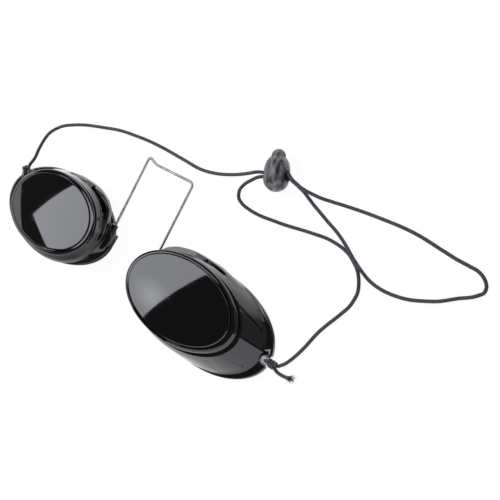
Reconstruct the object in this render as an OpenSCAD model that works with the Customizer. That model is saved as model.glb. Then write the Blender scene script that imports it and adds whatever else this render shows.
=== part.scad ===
// Intense pulsed light goggles: two opaque eyecups on a bent wire nose bridge,
// worn on a thin elastic cord that is gathered by a sprung cord lock.
// X runs across the face, Y towards the brow and Z towards the front.
// The rims' eye side lies on Z = 0, and the origin is under the middle of the pair.

/* [Rim] */
// Length of a rim, from nose to temple
rim_l = 58; // [50:0.5:66]
// Height of a rim, from cheek to brow
rim_h = 33.8; // [30:0.2:40]
// Thickness of the rim
rim_t = 2; // [1.6:0.1:3]
// Rounding of the rim's outer edges
rim_round = 0.6; // [0.2:0.1:0.7]
// Distance between the two rims' centres
cup_pitch = 83; // [78:0.2:96]
// Angle that each temple tip leans towards the cheek
cup_cant = 2.1; // [0:0.1:6]

/* [Outer shell] */
// Width of the ledge between the skirt and the rim's tip
ledge_w = 1.8; // [1.4:0.1:3]
// Height of a skirt over its length
skirt_aspect = 0.61; // [0.57:0.01:0.62]
// Thickness of the skirt's wall
shell_t = 1.5; // [1:0.1:2]
// How much narrower the skirt is at its top, on each side
skirt_taper = 2.3; // [1:0.1:3]
// Height of the shoulder that carries the front parts
shoulder_z = 13.1; // [12:0.1:16]
// Thickness of the shoulder
shoulder_t = 1.2; // [0.8:0.1:1.6]
// How far the front sits nearer the nose than the rim
front_in = 6.4; // [4:0.1:9]
// How far the front sits nearer the brow than the rim
front_up = 1.3; // [0:0.1:3]
// How far the skirt's foot stands towards the temple
foot_out = 1.2; // [0:0.05:1.4]
// Slope of the front towards the temple, in degrees
lean_out = 5.7; // [0:0.1:8]
// Slope of the front towards the brow, in degrees
lean_up = 1.7; // [0:0.1:5]

/* [Vents] */
// Height of a vent slot
vent_h = 1.8; // [1:0.1:2.4]
// Height of the slots' lower edge in the skirt
vent_z = 7.6; // [5:0.1:8]
// Start of the brow slot around the skirt, in degrees from the temple
vent_brow_a = 93; // [80:1:96]
// End of the brow slot, in degrees from the temple
vent_brow_b = 105; // [98:1:107]
// Start of the nose slot, in degrees from the temple
vent_nose_a = 110; // [108:1:120]
// End of the nose slot, in degrees from the temple
vent_nose_b = 148; // [130:1:158]

/* [Vent hood] */
// Radius of the hood below the nose slot, before the skirt is flattened to an oval
hood_r = 30.6; // [28:0.1:31]
// Height of the hood's foot in the skirt
hood_z = 3.6; // [3:0.1:4.5]
// Start of the hood around the skirt, in degrees from the temple
hood_a = 106; // [98:1:112]
// End of the hood, in degrees from the temple
hood_b = 146; // [130:1:150]

/* [Eye cup liner] */
// Thickness of the liner's wall
liner_t = 1.3; // [1:0.1:1.8]
// Gap between the liner and the skirt
liner_gap = 0.5; // [0.3:0.1:1]
// Height of the liner
liner_z = 9.6; // [8:0.1:10.5]

/* [Front] */
// Length of a front panel
panel_l = 44.6; // [40:0.2:46]
// Height of a front panel over its length
panel_aspect = 0.61; // [0.59:0.005:0.62]
// Height of a front panel's face above the shoulder
panel_rise = 2.6; // [2.2:0.1:5]
// Dome of a front panel at its middle
panel_dome = 0.7; // [0.3:0.1:1.2]
// Thickness of a front panel
panel_t = 1.6; // [1.2:0.1:2]
// Width of a rim ring
ring_w = 2.2; // [2:0.1:2.4]
// Height of a rim ring
ring_h = 2.1; // [1.6:0.1:2.6]
// Height of a rim ring over its length
ring_aspect = 0.615; // [0.61:0.005:0.62]
// Clearance between seated parts
seat_gap = 0.05; // [0.02:0.01:0.1]

/* [Nose bridge] */
// Diameter of the bridge wire
wire_d = 1; // [0.8:0.1:1.4]
// Distance between the wire's legs
bridge_w = 23.2; // [21:0.1:26]
// Length of the wire's legs that shows
bridge_l = 28.4; // [22:0.1:34]
// Bend radius of the wire, at its middle
bridge_bend = 1.8; // [1.5:0.1:4]
// Height of the wire where it leaves the sockets
wire_z = 6.4; // [5.5:0.1:7.5]
// Rise of the wire towards the brow, in degrees
wire_rise = 4; // [0:0.5:8]
// Clearance around the wire in its sockets
wire_play = 0.05; // [0.02:0.01:0.1]
// Outer diameter of a wire socket
socket_d = 2.4; // [2.2:0.1:3]
// Length of a wire socket
socket_l = 8.4; // [6:0.1:10]
// Place of the sockets' mouths, towards the brow
socket_y = 9.6; // [8:0.1:11]
// Length of the arm that joins a socket to the rim, along the wire
socket_arm = 4; // [3:0.5:6]
// Width of the arm's foot on the rim
socket_foot = 5.5; // [5:0.5:7]

/* [Eyelets] */
// Diameter of a cord eyelet
eyelet_d = 2.1; // [2:0.1:2.6]
// Wall between an eyelet and the outer edge of its lug
eyelet_wall = 0.75; // [0.6:0.05:1]
// How far an eyelet's lug stands past the rim's edge
eyelet_reach = 0.4; // [0.2:0.1:0.8]
// Thickness of an eyelet's lug
lug_t = 1.4; // [1.2:0.1:1.6]
// Place of the right eyelet around the rim, in degrees from the temple tip
eyelet_right_a = 1.5; // [0:0.5:10]
// Place of the left eyelet around the rim, in degrees from the temple tip
eyelet_left_a = 28; // [0:1:35]
// Height of the relief under an eyelet, for the cord
relief_z = 1.7; // [1.65:0.05:1.9]
// Width of the relief under an eyelet
relief_w = 4; // [3.8:0.1:5]

/* [Elastic cord] */
// Diameter of the elastic cord
cord_d = 1.3; // [1.1:0.05:1.3]
// Diameter of a knot
knot_d = 3.3; // [3:0.1:3.3]
// Diameter of a frayed end
fray_d = 2; // [1.5:0.1:2.4]

/* [Cord lock] */
// Diameter of the cord lock's barrel
lock_d = 9.2; // [8.8:0.1:10]
// Length of the barrel from its foot to the cord hole's middle
lock_foot = 5.6; // [5.5:0.1:6.2]
// Length of the barrel from the cord hole's middle to its mouth
lock_mouth = 6.4; // [6:0.1:7]
// Diameter of the barrel's mouth
mouth_d = 7; // [6.8:0.1:7.6]
// Diameter of the cord hole
cord_hole_d = 4; // [3.9:0.05:4.1]
// Diameter of the plunger
stem_d = 5.2; // [5:0.1:5.4]
// Running clearance around the plunger
stem_play = 0.1; // [0.05:0.01:0.15]
// How far the plunger stands out of the barrel
head_l = 3.35; // [3:0.05:4]
// Height of the plunger's domed end
dome_l = 2.8; // [2.2:0.1:3]
// Travel of the plunger
press_travel = 1.2; // [1:0.1:1.3]
// Width of the cord slot through the stem
slot_w = 3.2; // [3:0.1:3.4]
// Wall of the stem below the cord slot
stem_floor = 1; // [0.8:0.1:1.2]
// Height of the space for the spring
spring_room = 2.4; // [2.2:0.1:2.6]
// Wire diameter of the spring
spring_wire = 0.35; // [0.3:0.05:0.4]
// Number of turns of the spring
spring_turns = 2; // [2:1:3]

/* [Hidden] */
$fa = 3;
$fs = 0.3;

shell_black = [0.035, 0.035, 0.04];
panel_black = [0.02, 0.02, 0.023];
liner_black = [0.05, 0.05, 0.055];
steel_grey = [0.62, 0.60, 0.57];
cord_black = [0.05, 0.052, 0.06];
lock_grey = [0.12, 0.12, 0.13];

big = 200;
below = 6;
rim_r = rim_l/2;
rim_aspect = rim_h/rim_l;
skirt_r = rim_r - ledge_w;
skirt_top_r = skirt_r - skirt_taper;
panel_r = panel_l/2;
panel_wall = 1.4;
panel_edge = 0.5;
ring_in_r = panel_r + 0.3;
shoulder_in_r = panel_r - panel_wall - 0.2;
slope_x = -tan(lean_out);
slope_y = -tan(lean_up);
front_z = shoulder_z + panel_rise;

// The pair is shifted so that the origin lies under the middle of its box.
wire_lead = socket_y + (bridge_l + wire_d/2)*cos(wire_rise);
rim_back = -sqrt(pow(rim_r*sin(cup_cant), 2) + pow(rim_h/2*cos(cup_cant), 2));
mid_y = (wire_lead + rim_back)/2;

// Places along the outward line through an eyelet, from the rim's edge.
eyelet_at = eyelet_reach - eyelet_wall - eyelet_d/2;
eyelet_lug_d = eyelet_d + 2*eyelet_wall;
loop_at = eyelet_reach - eyelet_wall/2;
loop_z = relief_z + lug_t/2;
loop_r = loop_z - cord_d/2 - seat_gap;
knot_at = eyelet_reach + knot_d/2 + seat_gap;
knot_z = knot_d/2 + seat_gap;

// The cord lock lies on its side, and its stem pinches the cord at rest.
lock_x = 38.1;
lock_y = 55.2;
lock_turn = 27;
slot_low = cord_hole_d/2 - press_travel;
stem_bottom = -slot_low - stem_floor;
cavity_floor = stem_bottom - spring_room;
cavity_d = stem_d + 2*stem_play;
spring_r = stem_d/2 - spring_wire;

// The cord's route in millimetres, from the left knot through the lock and round
// the back loop, back through the lock and on to the right knot. Y is measured
// from the line through the rims' middles.
left_run = [
    [-67.9, 10.2, 1.5], [-67.1, 12.6, 1.8], [-66.9, 17.4, 2.4], [-65.4, 24.7, 3],
    [-61.5, 29.3, 3.2], [-55.6, 32.9, 3], [-42.3, 38, 2.2], [-35.5, 40.1, 1.7],
    [-28.4, 41.4, 1.2], [-21, 42.4, 0.9], [-13.4, 42.9, 0.7], [-4, 43.1, 0.7],
    [6.8, 43.5, 0.8], [13.1, 45, 1.3], [19.1, 47.2, 2.2], [24.3, 49.6, 3.4],
    [27.8, 51.5, 4.3], [30.3, 53, 4.8], [33.4, 54.3, 4.8], [37.5, 56.4, 4.8], [41.3, 58.1, 4.9]
];
back_loop = [
    [44.9, 56.8, 5], [46.7, 56.4, 4.6], [48.7, 56, 4.2], [50.7, 55.9, 3.6],
    [53.3, 56, 2.9], [56.7, 56.3, 2.4], [60.8, 57.1, 1.7], [65.1, 58, 1.1],
    [69.8, 58.9, 0.8], [81.2, 60.6, 0.7], [87, 61.3, 0.7], [93, 61.7, 0.7],
    [105, 61.3, 0.7], [110, 61.1, 0.7], [115, 61.2, 0.7], [119, 61.1, 0.7],
    [121.9, 59.9, 0.7], [123.5, 58.3, 0.7], [123.9, 56.4, 0.7], [122.5, 54.5, 0.7],
    [116.9, 50.3, 0.7], [112, 46.6, 0.7], [107.7, 44.3, 0.7], [103.2, 42.3, 0.7],
    [98, 40.9, 0.7], [91.3, 40.3, 0.7], [87.2, 40.8, 0.8], [84.1, 41.9, 1.5],
    [81.4, 43.1, 2], [78.2, 44.6, 2.1], [73.9, 46.8, 2], [67.6, 49.2, 1.3],
    [63, 50.5, 1.2], [58.7, 51.9, 1.5], [54.8, 53.2, 1.9], [52, 54.3, 2.2],
    [49.6, 55.2, 2.4], [47.1, 55.8, 2.8], [44.9, 56.3, 3.3], [43.8, 56.5, 3.6],
    [42, 57, 4]
];
right_run = [
    [38.1, 55.2, 4.3], [34, 53.1, 4.4], [31.6, 51.6, 4.5], [29.5, 49.4, 4.2],
    [27.5, 46.8, 3.7], [26.5, 44.1, 2.9], [27.4, 41.7, 2.2], [29.7, 40.5, 1.6],
    [32.8, 40.1, 1.1], [45.8, 41.5, 0.7], [59.6, 44.4, 0.7], [66.1, 45.5, 0.7],
    [69.7, 45.6, 0.7], [72.8, 45.4, 0.7], [75.9, 44.7, 0.7], [78.5, 43.5, 0.7],
    [80.8, 42.2, 0.7], [82.8, 40.4, 0.7], [84.5, 38.1, 0.7], [85.8, 35.3, 0.7],
    [86, 32.6, 0.7], [85.6, 29.5, 0.7], [84.5, 26.6, 0.7], [80.7, 17.5, 0.7],
    [78.4, 8.5, 0.7], [76.9, 4.4, 0.7], [75.4, 1.5, 0.9], [74.2, 0.1, 1.2]
];
cord_route = concat(left_run, back_loop, right_run);
left_end = len(left_run) - 1;
back_end = left_end + len(back_loop);
right_tail = [[72.6, -1, 1.4], [74.6, -1.9, 0.9], [77.4, -1.9, 0.7], [80, -1.3, 1]];
left_tail = [[-68.9, 8.3, 1.5], [-70.2, 6.9, 1.1]];
cord_sides = 8;

// Unit vector of v.
function unit(v) = v/norm(v);

// Direction of route r at point i, from the points beside it.
function along(r, i) = unit(r[min(i + 1, len(r) - 1)] - r[max(i - 1, 0)]);

// Ring of points around point i of route r, in a circle of radius q that stays upright.
function cord_ring(r, i, q) =
    let (t = along(r, i),
         side = unit(cross([0, 0, 1], t)),
         top = cross(t, side))
    [for (k = [0 : cord_sides - 1])
        r[i] + q*(side*cos(360*(k + 0.5)/cord_sides) + top*sin(360*(k + 0.5)/cord_sides))];

// Total length of route r.
function route_length(r, i = 0) =
    i >= len(r) - 1 ? 0 : norm(r[i + 1] - r[i]) + route_length(r, i + 1);

// Solid tube of radius q along route r, from point a to point b, closed at both ends.
module tube(r, q, a, b) {
    n = b - a + 1;
    m = cord_sides;
    points = [for (i = [a : b]) each cord_ring(r, i, q)];
    sides = [for (i = [0 : n - 2], k = [0 : m - 1])
        let (j = i*m + k, l = i*m + (k + 1) % m) each [[j, l, l + m], [j, l + m, j + m]]];
    first = [for (k = [1 : m - 2]) [0, k + 1, k]];
    last = [for (k = [1 : m - 2]) [(n - 1)*m, (n - 1)*m + k, (n - 1)*m + k + 1]];
    polyhedron(points = points, faces = concat(sides, first, last), convexity = 8);
}

// Round rod of diameter d from point a to point b.
module rod(a, b, d) {
    v = b - a;
    translate(a) rotate([0, acos(v[2]/norm(v)), atan2(v[1], v[0])]) cylinder(d = d, h = norm(v));
}

// Shifts what is drawn from the rims' middle line to the part's origin.
module pair() {
    translate([0, -mid_y, 0]) children();
}

// Places a cup: side 1 is the right one, and side -1 its mirror image.
module cup(side) {
    pair() mirror([side < 0 ? 1 : 0, 0, 0]) translate([cup_pitch/2, 0, 0])
        rotate([0, 0, -cup_cant]) children();
}

// Leans an oval column of the given aspect from the rim towards the nose and brow.
module slanted(aspect) {
    multmatrix([
        [1, 0, -(front_in + foot_out)/front_z, foot_out],
        [0, aspect, front_up/front_z, 0],
        [slope_x, slope_y*aspect, 1, 0],
        [0, 0, 0, 1]
    ]) children();
}

// Turns an outline of [radius, height] into a leaning oval ring, a quarter at a time.
module oval(aspect) {
    for (q = [0 : 3]) slanted(aspect) rotate([0, 0, 90*q]) rotate_extrude(angle = 90) children();
}

// Everything above height z.
module above(z) {
    translate([-big/2, -big/2, z]) cube([big, big, big]);
}

// Frame of the bridge wire, at the middle between the sockets' mouths.
module bridge_frame() {
    translate([0, socket_y, wire_z]) rotate([wire_rise, 0, 0]) children();
}

// The pair's middle, seen from a cup.
module from_cup() {
    rotate([0, 0, cup_cant]) translate([-cup_pitch/2, 0, 0]) children();
}

// Round bar of diameter d around a wire leg in its socket, with extra length at each end.
module leg_bar(d, extra) {
    from_cup() bridge_frame() translate([bridge_w/2, extra, 0]) rotate([90, 0, 0])
        cylinder(d = d, h = socket_l + 2*extra);
}

// Frame of a cup's eyelet, on the rim's edge, with X pointing straight out.
module eyelet_frame(side) {
    a = side > 0 ? eyelet_right_a : eyelet_left_a;
    translate([rim_r*cos(a), rim_h/2*sin(a), 0])
        rotate([0, 0, atan2(rim_r*sin(a), rim_h/2*cos(a))]) children();
}

// Frame of the cord lock: X along the cord hole, Y along the plunger.
module lock_frame() {
    pair() translate([lock_x, lock_y, lock_d/2]) rotate([0, 0, lock_turn]) children();
}

// Turns an outline of [radius, place] about the plunger's axis.
module lathe() {
    rotate([-90, 0, 0]) rotate_extrude() children();
}

module bridge_wire() {
    seat = socket_l - 0.6;
    straight = bridge_l - bridge_bend;
    color(steel_grey) pair() bridge_frame() {
        for (s = [-1, 1]) {
            translate([s*bridge_w/2, -seat, 0]) rotate([-90, 0, 0])
                cylinder(d = wire_d, h = seat + straight);
            translate([s*(bridge_w/2 - bridge_bend), straight, 0]) rotate([0, 0, s > 0 ? 0 : 90])
                rotate_extrude(angle = 90) translate([bridge_bend, 0]) circle(d = wire_d);
        }
        translate([-bridge_w/2 + bridge_bend, bridge_l, 0]) rotate([0, 90, 0])
            cylinder(d = wire_d, h = bridge_w - 2*bridge_bend);
    }
}

// Oval rim plate with rounded outer edges, open in the middle.
module rim_plate(inner_r) {
    r = rim_r - rim_round;
    for (q = [0 : 3]) scale([1, rim_aspect, 1]) rotate([0, 0, 90*q]) rotate_extrude(angle = 90)
        polygon(concat(
            [[inner_r, 0]],
            [for (a = [-90 : 15 : 0]) [r + rim_round*cos(a), rim_round*(1 + sin(a))]],
            [for (a = [0 : 15 : 90]) [r + rim_round*cos(a), rim_t - rim_round*(1 - sin(a))]],
            [[inner_r, rim_t]]));
}

// Wall that stands inside the skirt and hides the vents from the eye.
module liner_wall() {
    foot_r = skirt_r - shell_t - liner_gap;
    top_r = foot_r - skirt_taper*liner_z/shoulder_z;
    intersection() {
        oval(skirt_aspect) polygon([
            [foot_r - liner_t, -below], [foot_r, -below], [foot_r, 1],
            [top_r, liner_z], [top_r - liner_t, liner_z], [foot_r - liner_t, 1]]);
        above(0.4);
    }
}

// Tube at the nose that holds a wire leg, on an arm with a foot on the rim.
module socket() {
    inner = bridge_w/2 - socket_d/2 + 0.2;
    outer = bridge_w/2 + socket_d/2;
    foot_z = rim_t - 0.2;
    leg_bar(socket_d, 0);
    from_cup() translate([0, socket_y - socket_l + 0.4 + socket_arm, 0]) rotate([90, 0, 0])
        linear_extrude(socket_arm) polygon([
            [outer, 0], [outer + socket_foot, 0], [outer + socket_foot, foot_z],
            [outer + 2, foot_z], [outer - 0.2, wire_z - 0.2], [inner, wire_z - 0.5],
            [outer, foot_z - 0.2]]);
}

// Rim, liner, wire socket and eyelet lug in one piece.
module eye_cup(side) {
    inner_r = skirt_r - shell_t - liner_gap - liner_t - 0.6;
    color(liner_black) cup(side) difference() {
        union() {
            rim_plate(inner_r);
            liner_wall();
            socket();
            eyelet_frame(side) translate([eyelet_at, 0, relief_z])
                cylinder(d = eyelet_lug_d, h = lug_t);
        }
        leg_bar(wire_d + 2*wire_play, 1);
        eyelet_frame(side) {
            translate([eyelet_at, 0, -1]) cylinder(d = eyelet_d, h = relief_z + lug_t + 2);
            translate([eyelet_at - eyelet_d/2, -relief_w/2, -1])
                cube([2*eyelet_lug_d, relief_w, 1 + relief_z]);
        }
    }
}

// Slot in the skirt between two angles around it.
module vent(a, b) {
    slanted(skirt_aspect) rotate([0, 0, a]) rotate_extrude(angle = b - a)
        translate([skirt_top_r - shell_t - 0.6, vent_z]) square([8, vent_h]);
}

// Hood that stands out of the skirt below the nose slot, towards the brow and the nose.
module vent_hood() {
    foot_r = skirt_r - shell_t - 0.25;
    top = vent_z - 0.1;
    slanted(skirt_aspect) rotate([0, 0, hood_a]) rotate_extrude(angle = hood_b - hood_a)
        polygon([[foot_r, hood_z], [hood_r - 2, hood_z + 0.6], [hood_r - 0.2, hood_z + 1.8],
                 [hood_r, top - 0.9], [hood_r - 0.8, top], [foot_r, top]]);
}

// Skirt and shoulder, standing on the rim.
module outer_shell(side) {
    in_foot = skirt_r - shell_t;
    in_top = skirt_top_r - shell_t;
    under = shoulder_z - shoulder_t;
    color(shell_black) cup(side) difference() {
        union() {
            intersection() {
                oval(skirt_aspect) polygon([
                    [in_foot, -below], [skirt_r, -below], [skirt_r, 1],
                    [skirt_r - 0.15*skirt_taper, 4], [skirt_r - 0.55*skirt_taper, 9],
                    [skirt_top_r, shoulder_z - 0.4], [skirt_top_r - 0.4, shoulder_z],
                    [shoulder_in_r, shoulder_z], [shoulder_in_r, under], [in_top, under],
                    [in_foot, 1]]);
                above(rim_t + seat_gap);
            }
            vent_hood();
        }
        vent(vent_brow_a, vent_brow_b);
        vent(vent_nose_a, vent_nose_b);
        leg_bar(socket_d + 0.4, 1);
        eyelet_frame(side) translate([eyelet_at, 0, rim_t - 1])
            cylinder(d = eyelet_lug_d + 0.3, h = relief_z + lug_t - rim_t + 1.15);
    }
}

// Rounded bead around the front panel, standing on the shoulder.
module rim_ring(side) {
    base = shoulder_z + seat_gap;
    r = ring_h/2;
    color(shell_black) cup(side) oval(ring_aspect) polygon(concat(
        [[ring_in_r, base], [ring_in_r + ring_w - 0.3, base]],
        [for (a = [-50 : 20 : 90]) [ring_in_r + ring_w - r + r*cos(a), base + r + r*sin(a)]],
        [[ring_in_r, base + ring_h - 0.5]]));
}

// Domed panel with a skirt of its own, standing on the shoulder inside the ring.
module front_panel(side) {
    base = shoulder_z + seat_gap;
    top = front_z - panel_edge;
    flat_r = panel_r - panel_edge;
    in_r = panel_r - panel_wall;
    color(panel_black) cup(side) oval(panel_aspect) polygon(concat(
        [[in_r, base], [panel_r, base], [panel_r, top]],
        [for (k = [0 : 8]) let (x = flat_r*(1 - k/8))
            [x, front_z + panel_dome*(1 - pow(x/flat_r, 2))]],
        [[0, front_z + panel_dome - panel_t], [in_r - 0.6, front_z - panel_t],
         [in_r, front_z - panel_t - 0.6]]));
}

// Loop of cord through an eyelet, the knot outside it and the cord's free end.
module cord_knot(side, tail) {
    n = len(tail) - 1;
    color(cord_black) {
        cup(side) eyelet_frame(side) {
            translate([loop_at, 0, loop_z]) rotate([90, 0, 0]) rotate_extrude()
                translate([loop_r, 0]) circle(d = cord_d);
            translate([knot_at, 0, knot_z]) sphere(d = knot_d);
        }
        pair() {
            for (i = [1 : n]) rod(tail[i - 1], tail[i], cord_d);
            for (i = [1 : 1 : n - 1]) translate(tail[i]) sphere(d = cord_d + 0.1);
            translate(tail[n]) sphere(d = fray_d);
        }
    }
}

// Stretch of the cord between two points of its route.
module cord_run(a, b) {
    color(cord_black) pair() tube(cord_route, cord_d/2, a, b);
}

// Barrel with a ball foot, a round cord hole and a round well for the plunger.
module lock_barrel() {
    r = lock_d/2;
    ball = r - lock_foot;
    color(lock_grey) lock_frame() difference() {
        lathe() polygon(concat(
            [for (a = [-90 : 10 : 0]) [r*cos(a), ball + r*sin(a)]],
            [[r, lock_mouth - 4], [r - 0.2, lock_mouth - 2.8], [(r + mouth_d/2)/2, lock_mouth - 1.5],
             [mouth_d/2, lock_mouth - 0.6], [mouth_d/2 - 0.4, lock_mouth], [0, lock_mouth]]));
        translate([0, cavity_floor, 0]) rotate([-90, 0, 0])
            cylinder(d = cavity_d, h = lock_mouth - cavity_floor + 1);
        translate([-lock_d, 0, 0]) rotate([0, 90, 0])
            cylinder(d = cord_hole_d, h = 2*lock_d);
    }
}

// Plunger with a domed end, and a slot that the cord passes through.
module lock_plunger() {
    r = stem_d/2;
    dome_base = lock_mouth + head_l - dome_l;
    edge = 0.3;
    color(lock_grey) lock_frame() difference() {
        lathe() polygon(concat(
            [[0, stem_bottom], [r - edge, stem_bottom], [r, stem_bottom + edge]],
            [for (a = [0 : 10 : 90]) [r*cos(a), dome_base + dome_l*sin(a)]]));
        translate([-stem_d, -slot_low, -slot_w/2])
            cube([2*stem_d, slot_low + cord_hole_d/2 + press_travel, slot_w]);
    }
}

// Point of the spring's middle line, for t from 0 to 1, with its axis along Z.
function spring_point(t) =
    let (a = 360*spring_turns*t,
         low = cavity_floor + spring_wire/2 + seat_gap,
         high = stem_bottom - spring_wire/2 - seat_gap)
    [spring_r*cos(a), spring_r*sin(a), low + (high - low)*t];

// Compression spring between the barrel's floor and the plunger's stem.
module lock_spring() {
    steps = 12*spring_turns;
    wire = [for (i = [0 : steps]) spring_point(i/steps)];
    color(steel_grey) lock_frame() rotate([-90, 0, 0]) tube(wire, spring_wire/2, 0, steps);
}

echo(spring_gap = (spring_room - spring_wire - 2*seat_gap)/spring_turns - spring_wire);
echo(cord_length = route_length(cord_route));
echo(knot_right = route_length(right_tail), knot_left = route_length(left_tail));

module left_eye_cup() { eye_cup(-1); }
module left_outer_shell() { outer_shell(-1); }
module left_rim_ring() { rim_ring(-1); }
module left_front_panel() { front_panel(-1); }
module left_cord_knot() { cord_knot(-1, left_tail); }
module right_eye_cup() { eye_cup(1); }
module right_outer_shell() { outer_shell(1); }
module right_rim_ring() { rim_ring(1); }
module right_front_panel() { front_panel(1); }
module right_cord_knot() { cord_knot(1, right_tail); }
module cord_left_run() { cord_run(0, left_end); }
module cord_back_loop() { cord_run(left_end, back_end); }
module cord_right_run() { cord_run(back_end, len(cord_route) - 1); }

bridge_wire();
left_eye_cup();
left_outer_shell();
left_rim_ring();
left_front_panel();
left_cord_knot();
right_eye_cup();
right_outer_shell();
right_rim_ring();
right_front_panel();
right_cord_knot();
cord_left_run();
cord_back_loop();
cord_right_run();
lock_barrel();
lock_plunger();
lock_spring();
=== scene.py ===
# %% [markdown]
# # Intense pulsed light goggles
# Two light-tight eyecups hang on a bent steel wire that bridges the nose. One thin
# elastic cord is knotted into an eyelet of each cup, runs through a sprung cord lock
# twice and goes round the head. The part's solids come with the frame and stay where
# they are, and the pieces made here take the place of those that need a finer form.
# Sizes are in millimetres and turn into metres where a surface becomes a mesh.

import bmesh
import bpy
import numpy as np
from mathutils import Matrix, Vector


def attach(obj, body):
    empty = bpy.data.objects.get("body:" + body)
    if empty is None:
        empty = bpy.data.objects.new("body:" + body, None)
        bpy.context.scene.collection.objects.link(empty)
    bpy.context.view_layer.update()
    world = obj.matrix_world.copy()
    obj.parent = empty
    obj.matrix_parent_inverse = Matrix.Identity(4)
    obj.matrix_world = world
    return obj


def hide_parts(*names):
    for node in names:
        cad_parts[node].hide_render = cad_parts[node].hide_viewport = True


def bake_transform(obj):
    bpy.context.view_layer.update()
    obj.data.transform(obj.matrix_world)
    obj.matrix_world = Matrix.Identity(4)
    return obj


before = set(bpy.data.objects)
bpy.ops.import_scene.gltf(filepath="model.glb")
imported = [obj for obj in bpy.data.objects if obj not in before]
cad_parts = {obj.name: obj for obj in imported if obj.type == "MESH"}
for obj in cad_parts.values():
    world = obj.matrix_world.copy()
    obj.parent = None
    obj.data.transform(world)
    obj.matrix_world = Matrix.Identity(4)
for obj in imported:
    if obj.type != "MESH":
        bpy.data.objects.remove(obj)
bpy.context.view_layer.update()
MM = 0.001

# %% [markdown]
# The camera looks steeply down from the wearer's right, and it is rolled on its side,
# as the photographer held it. Its axes are worked out from where it stands, what it
# looks at and the roll, so no angle is typed twice.

# %% Camera
CAMERA_AT = Vector((262.07, 52.14, 357.23)) * MM
LOOKS_AT = Vector((40.76, 17.27, 0)) * MM
CAMERA_ROLL = np.radians(-68)
SENSOR_WIDTH = 36
FOCAL_LENGTH = 86.4


def camera_axes(eye, target, roll):
    """Right, up and back axes: the level axes of the line of sight, turned by roll about it."""
    sight = (target - eye).normalized()
    level = sight.cross(Vector((0, 0, 1))).normalized()
    upright = level.cross(sight)
    right = level * np.cos(roll) + upright * np.sin(roll)
    return right, (-sight).cross(right), -sight


camera_data = bpy.data.cameras.new("camera")
camera_data.sensor_width = SENSOR_WIDTH
camera_data.lens = FOCAL_LENGTH
camera_data.clip_start, camera_data.clip_end = 0.01, 20
camera = bpy.data.objects.new("camera", camera_data)
bpy.context.scene.collection.objects.link(camera)
camera.matrix_world = Matrix.Translation(CAMERA_AT) @ Matrix(
    camera_axes(CAMERA_AT, LOOKS_AT, CAMERA_ROLL)).transposed().to_4x4()
bpy.context.scene.camera = camera
print("camera right axis:", tuple(round(x, 3) for x in camera.matrix_world.col[0][:3]))

# %% [markdown]
# Every new piece is a grid of points with faces between neighbours. Modifiers could
# build such shapes too, but a grid keeps the formula of the shape in sight. One helper
# turns it into a mesh: it welds the seams and poles, turns all faces outwards and marks
# an edge as sharp where the surface really bends.

# %% From a grid to a mesh
WELD = 1e-7


def grid_quads(rows, columns, close_rows=False, close_columns=True):
    """Corner numbers of the quads of a grid: each point with its right, upper-right and upper one."""
    i = np.arange(rows if close_rows else rows - 1)
    j = np.arange(columns if close_columns else columns - 1)
    i, j = (a.ravel() for a in np.meshgrid(i, j, indexing="ij"))
    up, right = (i + 1) % rows, (j + 1) % columns
    return np.stack([i * columns + j, i * columns + right, up * columns + right, up * columns + j], 1)


def new_piece(name, points, quads, uv=None, sharp=40):
    """Mesh object from points in millimetres and quads; sharp is the least angle of a hard edge."""
    mesh = bpy.data.meshes.new(name)
    mesh.from_pydata((np.asarray(points) * MM).tolist(), [], np.asarray(quads).tolist())
    if uv is not None:
        layer = mesh.uv_layers.new(name="along")
        layer.data.foreach_set("uv", np.asarray(uv, np.float32).ravel())
    shape = bmesh.new()
    shape.from_mesh(mesh)
    bmesh.ops.remove_doubles(shape, verts=shape.verts, dist=WELD)
    bmesh.ops.recalc_face_normals(shape, faces=shape.faces)
    shape.to_mesh(mesh)
    shape.free()
    mesh.polygons.foreach_set("use_smooth", np.ones(len(mesh.polygons), bool))
    mesh.set_sharp_from_angle(angle=np.radians(sharp))
    piece = bpy.data.objects.new(name, mesh)
    bpy.context.scene.collection.objects.link(piece)
    return piece


print("faces of a 3 by 4 grid that closes on itself:", len(grid_quads(3, 4)))

# %% [markdown]
# A knot is several tubes in one piece, so surfaces can be joined before they become a
# mesh. A finished piece then needs three facts: its material, the body that it moves
# with and the solid nodes that it is shown instead of.

# %% Joining surfaces and dressing a piece
def joined(parts):
    """Points, quads and UVs of several surfaces as one."""
    points = np.concatenate([p for p, _, _ in parts])
    starts = np.cumsum([0] + [len(p) for p, _, _ in parts[:-1]])
    quads = np.concatenate([q + s for (_, q, _), s in zip(parts, starts)])
    return points, quads, np.concatenate([uv for _, _, uv in parts])


def dress(piece, body, slot, material, *nodes):
    """Gives a piece its material, its body and the nodes that it stands for; slot is not used."""
    piece.data.materials.append(material)
    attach(piece, body)
    if nodes:
        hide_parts(*nodes)
    return piece


print("solid nodes in the frame:", len(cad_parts))

# %% [markdown]
# The cord and the wire are paths with a thickness. A cord's path is a smooth cubic
# through a few listed points, because a curve object would hide how the line runs
# between them.

# %% Paths
def unit(vectors):
    """Vectors scaled to length one."""
    return vectors / np.linalg.norm(vectors, axis=-1, keepdims=True)


def arc_length(path):
    """Distance of each point of a path from its start."""
    return np.concatenate([[0], np.cumsum(np.linalg.norm(np.diff(path, axis=0), axis=1))])


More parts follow.
